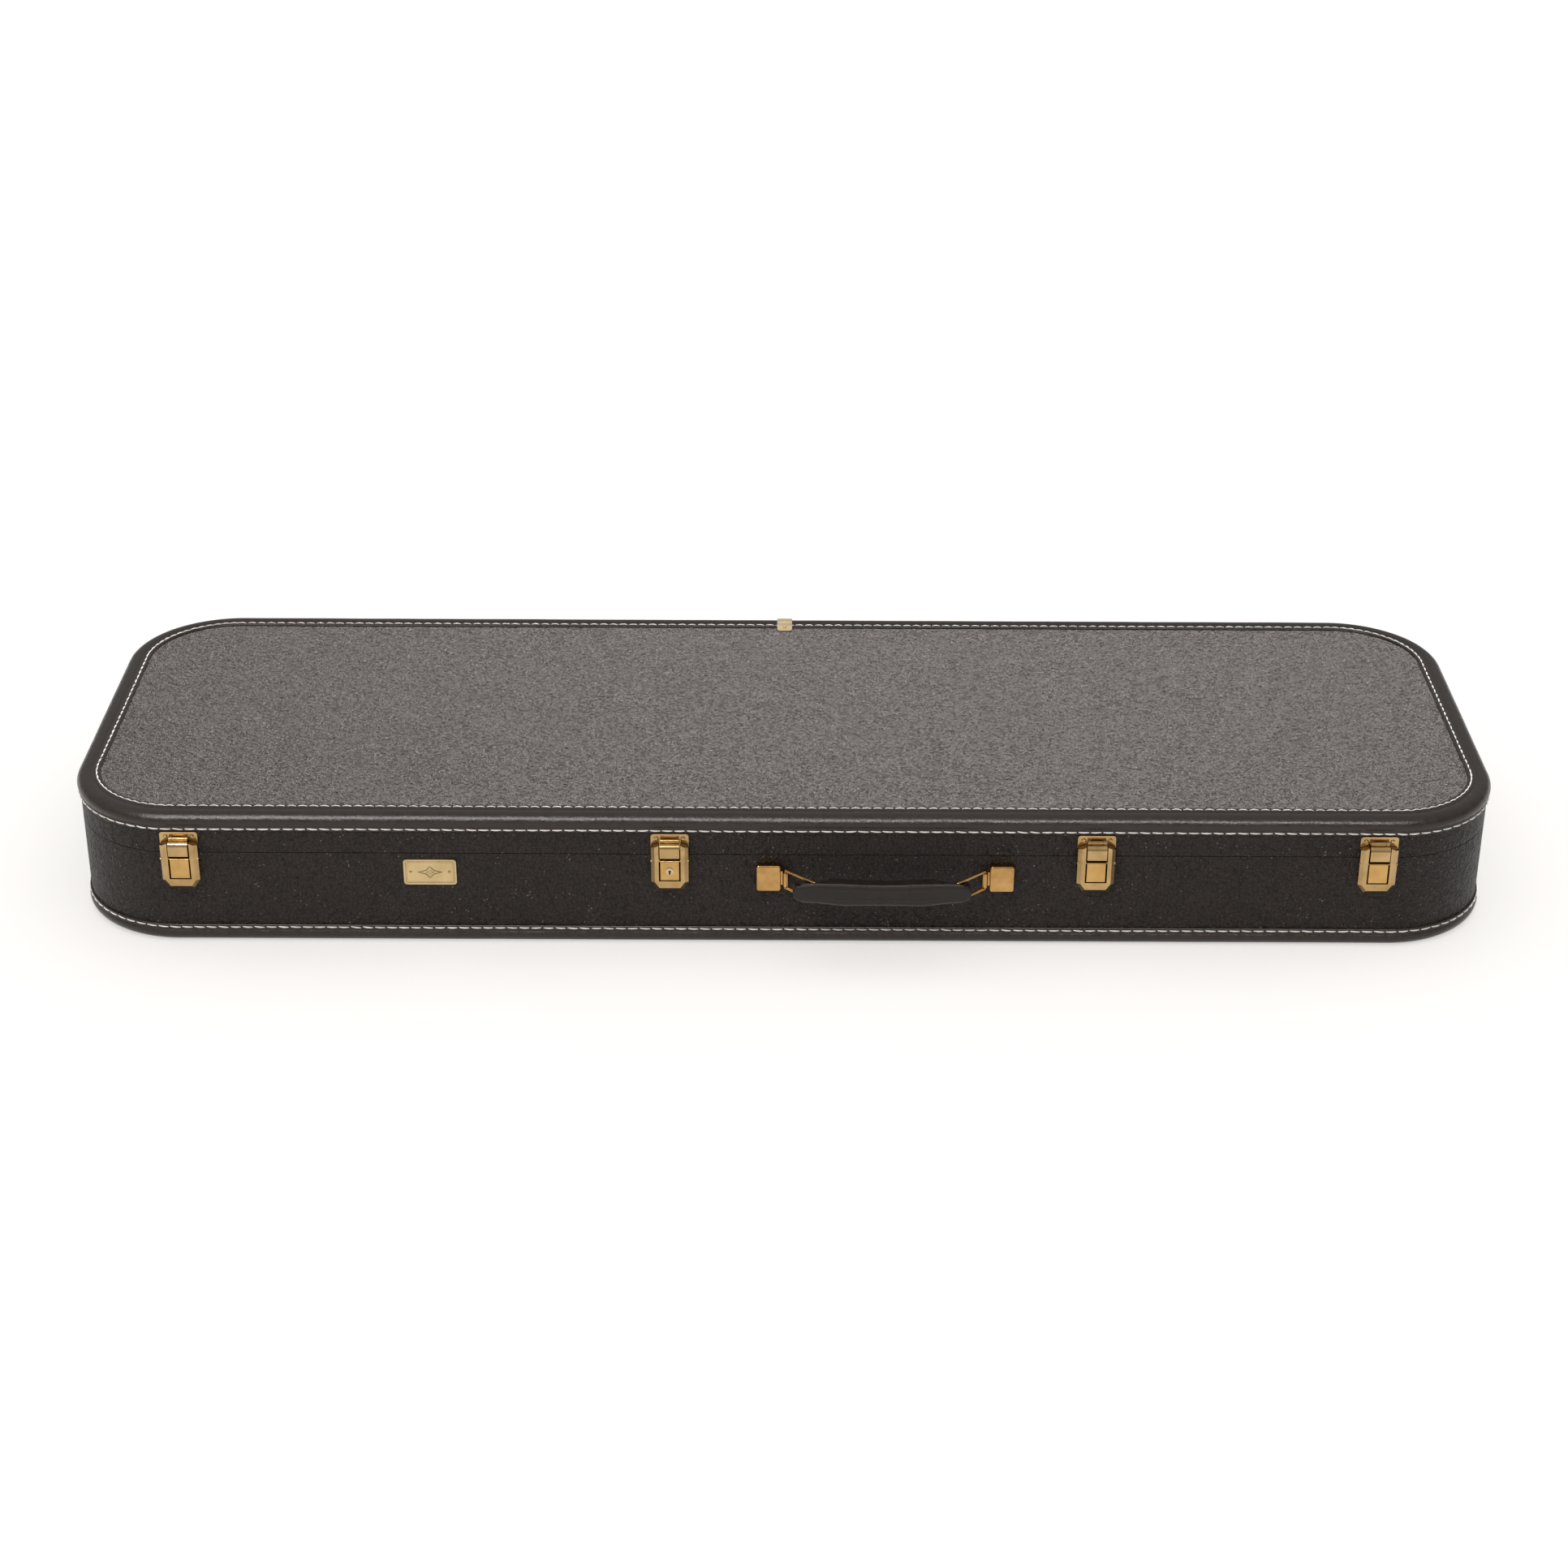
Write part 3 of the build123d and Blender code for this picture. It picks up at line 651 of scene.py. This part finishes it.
def foam_block(node, body):
    """Foam block wrapped in plush: softened edges and faces that crown under pressure."""
    low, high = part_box(node)
    skin = 0.3 * MM
    proud = 2.0 * MM
    piece = remeshed(node, node + "_plush", 6 * MM)
    relaxed(piece, 3)
    inflate(piece, 14, 4 * MM)
    relaxed(piece, 1)
    keep_inside(piece, low + Vector((skin, skin, 0)), high + Vector((-skin, -skin, proud)))
    finish_soft(piece, body, node)


def plush_board(node, body, voxel):
    """Thin board wrapped in plush, with rounded edges."""
    low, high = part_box(node)
    piece = remeshed(node, node + "_plush", voxel)
    relaxed(piece, 2)
    for vertex in piece.data.vertices:
        vertex.co += Vector((0, 0, noise.noise(vertex.co * 60) * 0.25 * MM))
    keep_inside(piece, low, high)
    finish_soft(piece, body, node)


def lining_ring(node, body):
    """Plush strip round the inside of a wall, its free edge rolled over."""
    low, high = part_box(node)
    outer = -(HALF_X - high.x)
    inner = outer - 2.5 * MM
    open_z, closed_z = (high.z, low.z) if body == "base" else (low.z, high.z)
    turn = 1 if open_z > closed_z else -1
    section = [
        (outer, closed_z),
        (outer, open_z - turn * 1.2 * MM),
        (outer - 0.5 * MM, open_z - turn * 0.3 * MM),
        (outer - 1.25 * MM, open_z),
        (inner + 0.5 * MM, open_z - turn * 0.3 * MM),
        (inner - 0.1 * MM, open_z - turn * 1.3 * MM),
        (inner + 0.1 * MM, open_z - turn * 4 * MM),
    ]
    for share in (0.35, 0.5, 0.65, 0.8):
        section.append((inner, open_z + (closed_z - open_z) * share))
    section.append((inner, closed_z))

    def shift(place, at):
        if place < 5:
            return 0.0, 0.0
        return noise.noise(Vector((at.x * 16, at.y * 16, at.z * 26))) * 0.35 * MM, 0.0

    piece = bpy.data.objects.new(node + "_plush", ring_mesh(node + "_plush", section, 7 * MM, shift))
    bpy.context.scene.collection.objects.link(piece)
    finish_soft(piece, body, node)


def rounded_slab(name, half_x, half_y, corner, fixed_z, rise, cell):
    """Slab with rounded corners in plan. rise(x, y, edge) gives the visible face's height."""
    columns = int(2 * half_x / cell)
    rows = int(2 * half_y / cell)
    work = bmesh.new()
    grids = ([], [])
    for column in range(columns + 1):
        lines = ([], [])
        for row in range(rows + 1):
            x = half_x * (2 * column / columns - 1)
            y = half_y * (2 * row / rows - 1)
            over_x = abs(x) - (half_x - corner)
            over_y = abs(y) - (half_y - corner)
            edge = min(half_x - abs(x), half_y - abs(y))
            if over_x > 0 and over_y > 0:
                reach = max(over_x, over_y)
                away = math.hypot(over_x, over_y)
                x = math.copysign(half_x - corner + over_x / away * reach, x)
                y = math.copysign(half_y - corner + over_y / away * reach, y)
                edge = corner - reach
            lines[0].append(work.verts.new((x, y, rise(x, y, edge))))
            lines[1].append(work.verts.new((x, y, fixed_z)))
        for grid, line in zip(grids, lines):
            grid.append(line)
    for grid in grids:
        for line, following in zip(grid, grid[1:]):
            for row in range(rows):
                work.faces.new((line[row], following[row], following[row + 1], line[row + 1]))
    around = [(column, 0) for column in range(columns)] + [(columns, row) for row in range(rows)]
    around += [(column, rows) for column in range(columns, 0, -1)] + [(0, row) for row in range(rows, 0, -1)]
    for (a, b), (c, d) in zip(around, around[1:] + around[:1]):
        work.faces.new((grids[0][a][b], grids[0][c][d], grids[1][c][d], grids[1][a][b]))
    return mesh_from(name, work)


def slab_lining(node, body, crown, channels):
    """Padded panel over a whole face: the floor of the base or the inside of the lid."""
    low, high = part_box(node)
    facing = 1 if body == "base" else -1
    visible, fixed = (high.z, low.z) if body == "base" else (low.z, high.z)
    inset = HALF_X - high.x

    def rise(x, y, edge):
        rounded = 1.6 * MM * max(0.0, 1 - edge / (5 * MM)) ** 2
        swell = crown * (1 - math.exp(-max(edge, 0) / (30 * MM)))
        for seam in channels:
            swell -= crown * 1.5 * math.exp(-((edge - seam) / (2.6 * MM)) ** 2)
        broad = noise.noise(Vector((x * 9, y * 9, 4.0))) * 0.5 * MM
        fine = noise.noise(Vector((x * 27, y * 27, 8.0))) * 0.2 * MM
        return visible + facing * (swell - rounded + (broad + fine) * min(1.0, edge / (20 * MM)))

    mesh = rounded_slab(node + "_plush", high.x, high.y, CORNER - inset, fixed, rise, 6 * MM)
    piece = bpy.data.objects.new(node + "_plush", mesh)
    bpy.context.scene.collection.objects.link(piece)
    finish_soft(piece, body, node)


def tube(work, points, radius, sides=8):
    """Add a capped tube through points to a mesh in the making."""
    rings = []
    for place, point in enumerate(points):
        before = points[max(place - 1, 0)]
        after = points[min(place + 1, len(points) - 1)]
        along = (after - before).normalized()
        side = along.cross(Vector((0.12, 0.31, 0.94))).normalized()
        other = along.cross(side)
        ring = []
        for corner in range(sides):
            angle = 2 * math.pi * corner / sides
            ring.append(work.verts.new(point + (side * math.cos(angle) + other * math.sin(angle)) * radius))
        rings.append(ring)
    join_rings(work, rings)


def flap_tab():
    """Pull tab of folded webbing on the accessory flap. Its bend stays behind the flap's front edge, which
    keeps it clear of the closed lid when the flap is raised."""
    low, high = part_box("accessory_flap")
    middle = (low.x + high.x) / 2
    thick = 1.1 * MM
    bend = 9 * MM
    rise = 4.4 * MM
    fold = low.y + 12 * MM
    under = high.z + 0.9 * MM
    path = [(fold + 16 * MM, under)]
    for step in range(13):
        angle = math.pi * step / 12
        path.append((fold - bend * math.sin(angle), under + rise * (1 - math.cos(angle)) / 2))
    path.append((fold + 14 * MM, high.z + 2.6 * MM))
    wide = Vector((9 * MM, 0, 0))
    work = bmesh.new()
    rings = []
    for place, (y, z) in enumerate(path):
        before = path[max(place - 1, 0)]
        after = path[min(place + 1, len(path) - 1)]
        run = Vector((0, after[0] - before[0], after[1] - before[1])).normalized()
        across = Vector((0, -run.z, run.y)) * thick / 2
        at = Vector((middle, y, z))
        corners = (wide + across, -wide + across, -wide - across, wide - across)
        rings.append([work.verts.new(at + corner) for corner in corners])
    join_rings(work, rings)
    mesh = mesh_from("accessory_flap_tab", work)
    piece = new_object("accessory_flap_tab", mesh, BINDING, "accessory_flap")
    bevel = piece.modifiers.new("bevel", "BEVEL")
    bevel.width = 0.3 * MM
    bevel.segments = 2


def build_interior():
    """Every plush piece."""
    for node in ("neck_cradle", "neck_side_block", "body_block_front", "body_block_back"):
        foam_block(node, "base")
    lining_ring("base_wall_lining", "base")
    lining_ring("lid_wall_lining", "lid")
    slab_lining("base_floor_lining", "base", 0.4 * MM, ())
    slab_lining("lid_top_lining", "lid", 2.2 * MM, (34 * MM,))
    plush_board("accessory_box", "base", 1.9 * MM)
    plush_board("accessory_shelf", "base", 1.6 * MM)
    plush_board("accessory_flap", "accessory_flap", 1.5 * MM)
    flap_tab()


build_interior()


# ---------------------------------------------------------------- carrying grip

def grip_body():
    """The grip's leather body: its CAD solid softened, with slight dents."""
    piece = remeshed("handle_grip", "grip_leather_body", 0.42 * MM)
    relaxed(piece, 7)
    for vertex in piece.data.vertices:
        dent = noise.noise(vertex.co * 70) * 0.22 + noise.noise(vertex.co * 24) * 0.35
        vertex.co.y += dent * MM
        vertex.co.z += noise.noise(vertex.co * 40 + Vector((5, 0, 0))) * 0.2 * MM
    piece.data.materials.clear()
    piece.data.materials.append(LEATHER)
    piece.data.shade_smooth()
    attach(piece, "handle_grip")
    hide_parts("handle_grip")
    return piece


def grip_edges(front, middle):
    """Lines of points along the upper and the lower edge of the grip's front, evened out."""
    half = 61 * MM
    steps = 40
    upper, lower = [], []
    for step in range(steps + 1):
        x = middle + (step / steps - 0.5) * 2 * half
        near = [point for point in front if abs(point.x - x) < 1.2 * MM]
        top = max(near, key=lambda point: point.z)
        bottom = min(near, key=lambda point: point.z)
        upper.append(Vector((x, top.y, top.z)))
        lower.append(Vector((x, bottom.y, bottom.z)))
    for _ in range(3):
        for line in (upper, lower):
            line[1:-1] = [(a + b + b + c) / 4 for a, b, c in zip(line, line[1:], line[2:])]
    return upper, lower


def grip_seams(upper, lower):
    """Raised seams along the two edges, in the lighter leather that paints a highlight on them."""
    work = bmesh.new()
    tube(work, upper, 0.75 * MM)
    tube(work, lower, 0.6 * MM)
    new_object("grip_seams", mesh_from("grip_seams", work), LEATHER_EDGE_PAINTED_HIGHLIGHT, "handle_grip")


def grip_stitches(front, middle, upper, lower):
    """Two rows of dark stitches, each at a share of the way from the upper edge to the lower one."""
    work = bmesh.new()
    pitch = 2.6 * MM
    reach = 1.2 * MM
    for step in range(-15, 16):
        x = middle + step * pitch
        place = min(range(len(upper)), key=lambda index: abs(upper[index].x - x))
        for share in (0.24, 0.70):
            z = upper[place].z + (lower[place].z - upper[place].z) * share
            near = [point.y for point in front if abs(point.x - x) < reach and abs(point.z - z) < reach]
            centre = Vector((x, min(near) - 0.02 * MM, z))
            along = Vector((1, 0, random.uniform(-0.12, 0.12))).normalized()
            stitch(work, centre, along, Vector((0, -1, 0)), pitch * 0.78, 0.32 * MM)
    new_object("grip_stitches", mesh_from("grip_stitches", work), DARK_THREAD, "handle_grip")


def build_grip():
    """Leather grip with raised seams along its front edges and two rows of dark stitches."""
    piece = grip_body()
    low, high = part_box("handle_grip")
    middle = (low.x + high.x) / 2
    front = [vertex.co.copy() for vertex in piece.data.vertices if vertex.co.y < low.y + 2.2 * MM]
    upper, lower = grip_edges(front, middle)
    grip_seams(upper, lower)
    grip_stitches(front, middle, upper, lower)


build_grip()


# ---------------------------------------------------------------- pins, screws and plates

def dome(work, centre, normal, radius, height, slot, turn):
    """Add a domed head to a mesh in the making, with a slot across it if slot gives its width."""
    side = normal.orthogonal().normalized()
    side = Matrix.Rotation(turn, 3, normal) @ side
    other = normal.cross(side)
    rings, steps = 7, 28
    slopes = [math.pi / 2 * (1 - ring / rings) for ring in range(rings)]
    profile = [(1.0, -0.25)] + [(math.sin(slope), math.cos(slope)) for slope in slopes]
    circles = []
    for out, up in profile:
        circle = []
        for step in range(steps):
            angle = 2 * math.pi * step / steps
            along = radius * out * math.cos(angle)
            across = radius * out * math.sin(angle)
            lift = height * up
            if slot and abs(across) < slot / 2 and out < 0.97:
                lift -= height * 0.55
            circle.append(work.verts.new(centre + side * along + other * across + normal * lift))
        circles.append(circle)
    join_rings(work, circles)


def heads(name, body, material, places, normal, radius, height, slot=0.0):
    """One piece holding several screw, rivet or nail heads."""
    work = bmesh.new()
    for place in places:
        dome(work, Vector(place), Vector(normal), radius, height, slot, random.uniform(0, math.pi))
    new_object(name, mesh_from(name, work), material, body)


def hinge_screws():
    """Three slotted screws in each leaf of the back hinges."""
    face = BACK + 1.2 * MM
    for number in (1, 2, 3):
        low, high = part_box(f"hinge_{number}_base_leaf")
        columns = (low.x + 5 * MM, (low.x + high.x) / 2, high.x - 5 * MM)
        for half, level in (("base", SEAM - 11.5 * MM), ("lid", SEAM + 11.5 * MM)):
            name = f"hinge_{number}_{half}_screws"
            places = [(x, face, level) for x in columns]
            heads(name, half, STEEL, places, (0, 1, 0), 2.4 * MM, 0.9 * MM, 0.55 * MM)


def plate_pins():
    """Two pins that hold the nameplate."""
    low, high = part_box("name_plate")
    centre = (low + high) / 2
    places = [(centre.x + side * 14.6 * MM, low.y, centre.z + 0.4 * MM) for side in (-1, 1)]
    heads("name_plate_pins", "base", BRASS, places, (0, -1, 0), 1.25 * MM, 0.7 * MM)


def plate_border(low, high, inset):
    """Points of a line with rounded corners, inside the nameplate's outline."""
    centre = (low + high) / 2
    radius = 1.4 * MM
    reach_x = high.x - centre.x - inset - radius
    reach_z = high.z - centre.z - inset - radius
    points = []
    for corner_x, corner_z, start in ((1, 1, 0), (-1, 1, 90), (-1, -1, 180), (1, -1, 270)):
        for step in range(5):
            angle = math.radians(start + step * 22.5)
            x = centre.x + corner_x * reach_x + radius * math.cos(angle)
            z = centre.z + corner_z * reach_z + radius * math.sin(angle)
            points.append(Vector((x, low.y, z)))
    return points


def plate_lozenge(low, high, reach, rise):
    """Points of a lozenge with hollow sides, in the middle of the nameplate."""
    centre = (low + high) / 2
    corners = [(reach, 0), (0, rise), (-reach, 0), (0, -rise)]
    points = []
    for (a, b), (c, d) in zip(corners, corners[1:] + corners[:1]):
        for step in range(8):
            t = step / 8
            bow = 1 - 0.30 * math.sin(math.pi * t)
            x = centre.x + (a + (c - a) * t) * bow
            z = centre.z + (b + (d - b) * t) * bow
            points.append(Vector((x, low.y, z)))
    return points


def plate_engraving():
    """Generic engraving: a border of two lines round three lozenges."""
    low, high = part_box("name_plate")
    work = bmesh.new()
    for inset, radius in ((1.6 * MM, 0.16 * MM), (2.5 * MM, 0.10 * MM)):
        border = plate_border(low, high, inset)
        tube(work, border + border[:2], radius, 6)
    for reach, rise in ((9.5, 5.2), (8.3, 4.4), (3.2, 1.9)):
        lozenge = plate_lozenge(low, high, reach * MM, rise * MM)
        tube(work, lozenge + lozenge[:2], 0.17 * MM, 6)
    mesh = mesh_from("name_plate_engraving", work)
    new_object("name_plate_engraving", mesh, TARNISH, "base")


def clip_nails():
    """One nail in the clip's back and two in its top."""
    low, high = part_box("back_clip")
    centre = (low.x + high.x) / 2
    places = [(centre, high.y - 0.1 * MM, low.z + 4 * MM)]
    heads("back_clip_nail", "lid", CLIP, places, (0, 1, 0), 1.4 * MM, 0.6 * MM)
    places = [(centre, low.y + reach * MM, high.z - 0.05 * MM) for reach in (5.5, 16)]
    heads("back_clip_top_nails", "lid", CLIP, places, (0, 0, 1), 1.5 * MM, 0.6 * MM)


def keyhole_painted_shade():
    """Dark block inside the lock's keyhole: painted shade in the keyway."""
    low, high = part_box("lock_cylinder")
    centre = (low + high) / 2
    radius = 0.97 * MM
    half = 0.62 * MM
    foot = centre.z - 2.55 * MM
    hole = []
    for step in range(15):
        turn = math.radians(-50 + 20 * step)
        hole.append((centre.x + radius * math.cos(turn), centre.z + radius * math.sin(turn)))
    hole += [(centre.x - half, foot), (centre.x + half, foot)]
    work = bmesh.new()
    rings = []
    for depth in (0.35 * MM, 1.05 * MM):
        rings.append([work.verts.new((x, low.y + depth, z)) for x, z in hole])
    join_rings(work, rings)
    # painted shade: a near-black block stands in for the shadow in the keyway
    mesh = mesh_from("lock_keyhole_depth", work)
    new_object("lock_keyhole_depth", mesh, DARK_THREAD, "lock_cylinder")


def keeper_rivets():
    """Two rivets in the keeper of each latch."""
    for number in range(1, 5):
        low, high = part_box(f"latch_{number}_keeper")
        centre = (low.x + high.x) / 2
        places = [(centre + side * 10 * MM, FRONT - 1.85 * MM, SEAM + 13.9 * MM) for side in (-1, 1)]
        name = f"latch_{number}_rivets"
        heads(name, "lid", BRASS, places, (0, -1, 0), 1.75 * MM, 0.55 * MM)


def build_details():
    """Heads on the hinges, keepers, nameplate and clip, the plate's engraving and the keyhole's block of
    painted shade.
    """
    hinge_screws()
    plate_pins()
    plate_engraving()
    clip_nails()
    keyhole_painted_shade()
    keeper_rivets()


build_details()


# ---------------------------------------------------------------- carried-over CAD nodes

def assign(material, *names):
    """Give CAD nodes a procedural material."""
    for name in names:
        mesh = NODES[name].data
        mesh.materials.clear()
        mesh.materials.append(material)


assign(VINYL, "base_covering", "lid_covering")
assign(PLYWOOD, "base_side_wall", "base_bottom_panel", "base_liner_board", "lid_side_wall", "lid_top_panel")
assign(PLATE, "name_plate")
assign(CLIP, "back_clip")
for node_name in NODES:
    if node_name.startswith("latch_"):
        assign(BLOCK if node_name.endswith("lever") else BRASS, node_name)
    elif node_name.startswith("hinge_"):
        assign(STEEL if node_name.endswith("pin") else BRASS, node_name)
    elif node_name.startswith(("handle_bracket", "handle_ring")):
        assign(GOLD, node_name)
assign(NICKEL, "lock_cylinder")


# ---------------------------------------------------------------- floor, lights and camera

def light_list(name, state, *pieces):
    """A collection of pieces that a light leaves out, or that are all it lights, as the state says."""
    listed = bpy.data.collections.new(name)
    for piece in pieces:
        listed.objects.link(piece)
    for entry in listed.collection_objects:
        entry.light_linking.link_state = state
    return listed


def build_stage():
    """Pale floor, a hair under the case."""
    mesh = bpy.data.meshes.new("floor")
    reach = 400.0
    corners = [(-reach, -reach, 0), (reach, -reach, 0), (reach, reach, 0), (-reach, reach, 0)]
    mesh.from_pydata(corners, [], [(0, 1, 2, 3)])
    floor = bpy.data.objects.new("floor", mesh)
    mesh.materials.append(floor_material())
    bpy.context.scene.collection.objects.link(floor)
    floor.location.z = -0.2 * MM
    return floor


def area_light(name, place, target, size, power, colour, listed):
    """Soft rectangular light that faces a target and follows a light list."""
    data = bpy.data.lights.new(name, "AREA")
    data.shape = "RECTANGLE"
    data.size, data.size_y = size
    data.energy = power
    data.color = colour
    lamp = bpy.data.objects.new(name, data)
    lamp.location = place
    lamp.rotation_euler = (Vector(target) - Vector(place)).to_track_quat("-Z", "Y").to_euler()
    bpy.context.scene.collection.objects.link(lamp)
    lamp.light_linking.receiver_collection = listed


def build_light(floor):
    """Grey surroundings that brighten upwards, a large softbox behind and two strips over the front, one of
    them for the bindings alone."""
    rolls = [piece for piece in bpy.data.objects if piece.name.endswith("_binding_roll")]
    clip = [piece for piece in bpy.data.objects if piece.name.startswith("back_clip")]
    no_floor = light_list("all_but_floor", "EXCLUDE", floor)
    no_edges = light_list("all_but_floor_and_edges", "EXCLUDE", floor, *rolls, *clip)
    only_rolls = light_list("binding_rolls", "INCLUDE", *rolls)
    world = bpy.data.worlds.new("studio")
    bpy.context.scene.world = world
    world.use_nodes = True
    tree = world.node_tree
    direction = tree.nodes.new("ShaderNodeTexCoord").outputs["Generated"]
    split = tree.nodes.new("ShaderNodeSeparateXYZ")
    tree.links.new(direction, split.inputs[0])
    ramp = tree.nodes.new("ShaderNodeValToRGB")
    tree.links.new(split.outputs["Z"], ramp.inputs["Fac"])
    low, high = ramp.color_ramp.elements
    low.position, low.color = 0.0, (0.30, 0.29, 0.28, 1)
    high.position, high.color = 0.9, (0.80, 0.80, 0.80, 1)
    background = tree.nodes["Background"]
    tree.links.new(ramp.outputs["Color"], background.inputs["Color"])
    background.inputs["Strength"].default_value = 0.9
    area_light("back_softbox", (0.35, 1.85, 2.05), (0.1, 0.0, 0.1), (3.4, 0.80), 262,
               (1.0, 0.955, 0.95), no_edges)
    area_light("strip", (-0.80, -1.25, 2.0), (-0.4, -0.18, 0.1), (1.3, 0.30), 26,
               (1.0, 0.97, 0.94), no_floor)
    area_light("roll_strip", (-0.25, -2.00, 1.7), (-0.05, -0.18, 0.1), (3.2, 0.36), 88,
               (1.0, 0.97, 0.95), only_rolls)


def build_camera():
    """Camera at the photograph's distance, height and field of view."""
    distance = 2.3952
    elevation = math.radians(27.54)
    roll = math.radians(0.249)
    photo_width = 1932
    focal_pixels = 3626.3
    shift_pixels = -8.8
    data = bpy.data.cameras.new("camera")
    data.sensor_width = 36
    data.lens = focal_pixels / photo_width * data.sensor_width
    data.shift_y = shift_pixels / photo_width
    data.clip_end = 1000
    camera = bpy.data.objects.new("camera", data)
    target = Vector((0, 0, 0.05))
    back = Vector((0, -math.cos(elevation), math.sin(elevation)))
    look = (-back).to_track_quat("-Z", "Y").to_matrix().to_4x4()
    camera.matrix_world = Matrix.Translation(target + back * distance) @ look @ Matrix.Rotation(roll, 4, "Z")
    bpy.context.scene.collection.objects.link(camera)
    bpy.context.scene.camera = camera


build_light(build_stage())
build_camera()
bpy.context.scene.view_settings.view_transform = "Standard"
